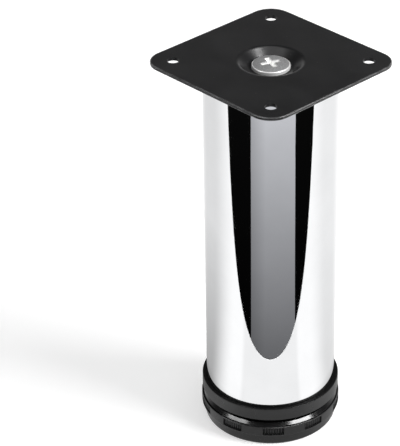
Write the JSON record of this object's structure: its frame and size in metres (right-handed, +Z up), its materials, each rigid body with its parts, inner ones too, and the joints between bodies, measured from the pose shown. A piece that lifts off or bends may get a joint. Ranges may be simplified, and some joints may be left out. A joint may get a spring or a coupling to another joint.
{
  "type": "furniture leg",
  "caption": "Round chromed steel furniture leg with a square dished mounting plate and a plastic foot that screws in and out to level it.",
  "frame": {"origin": "on the floor, at the centre of the foot's underside, on the leg's axis", "axes": "+Z up along the leg, the mounting plate's sides along X and Y"},
  "size_m": [0.08, 0.08, 0.184],
  "materials": {
    "plate_coating": "satin black coating on pressed steel",
    "zinc_screw": "dull zinc plating",
    "chrome_tube": "polished chrome plating",
    "cap_steel": "bare pressed steel",
    "nut_steel": "zinc plating",
    "plug_plastic": "satin black moulded plastic",
    "spindle_steel": "zinc plating",
    "foot_plastic": "satin black moulded plastic, a little glossier on the shoulder"
  },
  "bodies": {
    "leg": {"mounting_plate": "plate_coating", "plate_screw": "zinc_screw", "leg_tube": "chrome_tube", "tube_cap": "cap_steel", "weld_nut": "nut_steel", "tube_plug": "plug_plastic", "spindle_nut": "nut_steel"},
    "spindle": {"foot_spindle": "spindle_steel"},
    "foot": {"foot": "foot_plastic"}
  },
  "joints": [
    {"name": "foot_travel", "type": "slide", "parent": "leg", "child": "spindle", "axis": [0, 0, -1], "range_m": [-0.0035, 0.016]},
    {"name": "foot_turn", "type": "hinge", "parent": "spindle", "child": "foot", "pos_m": [0, 0, 0], "axis": [0, 0, -1], "range_deg": [-840, 3840]}
  ],
  "couplings": [
    {"joint": "foot_travel", "follows": "foot_turn", "m_per_rad": 0.00023873}
  ]
}
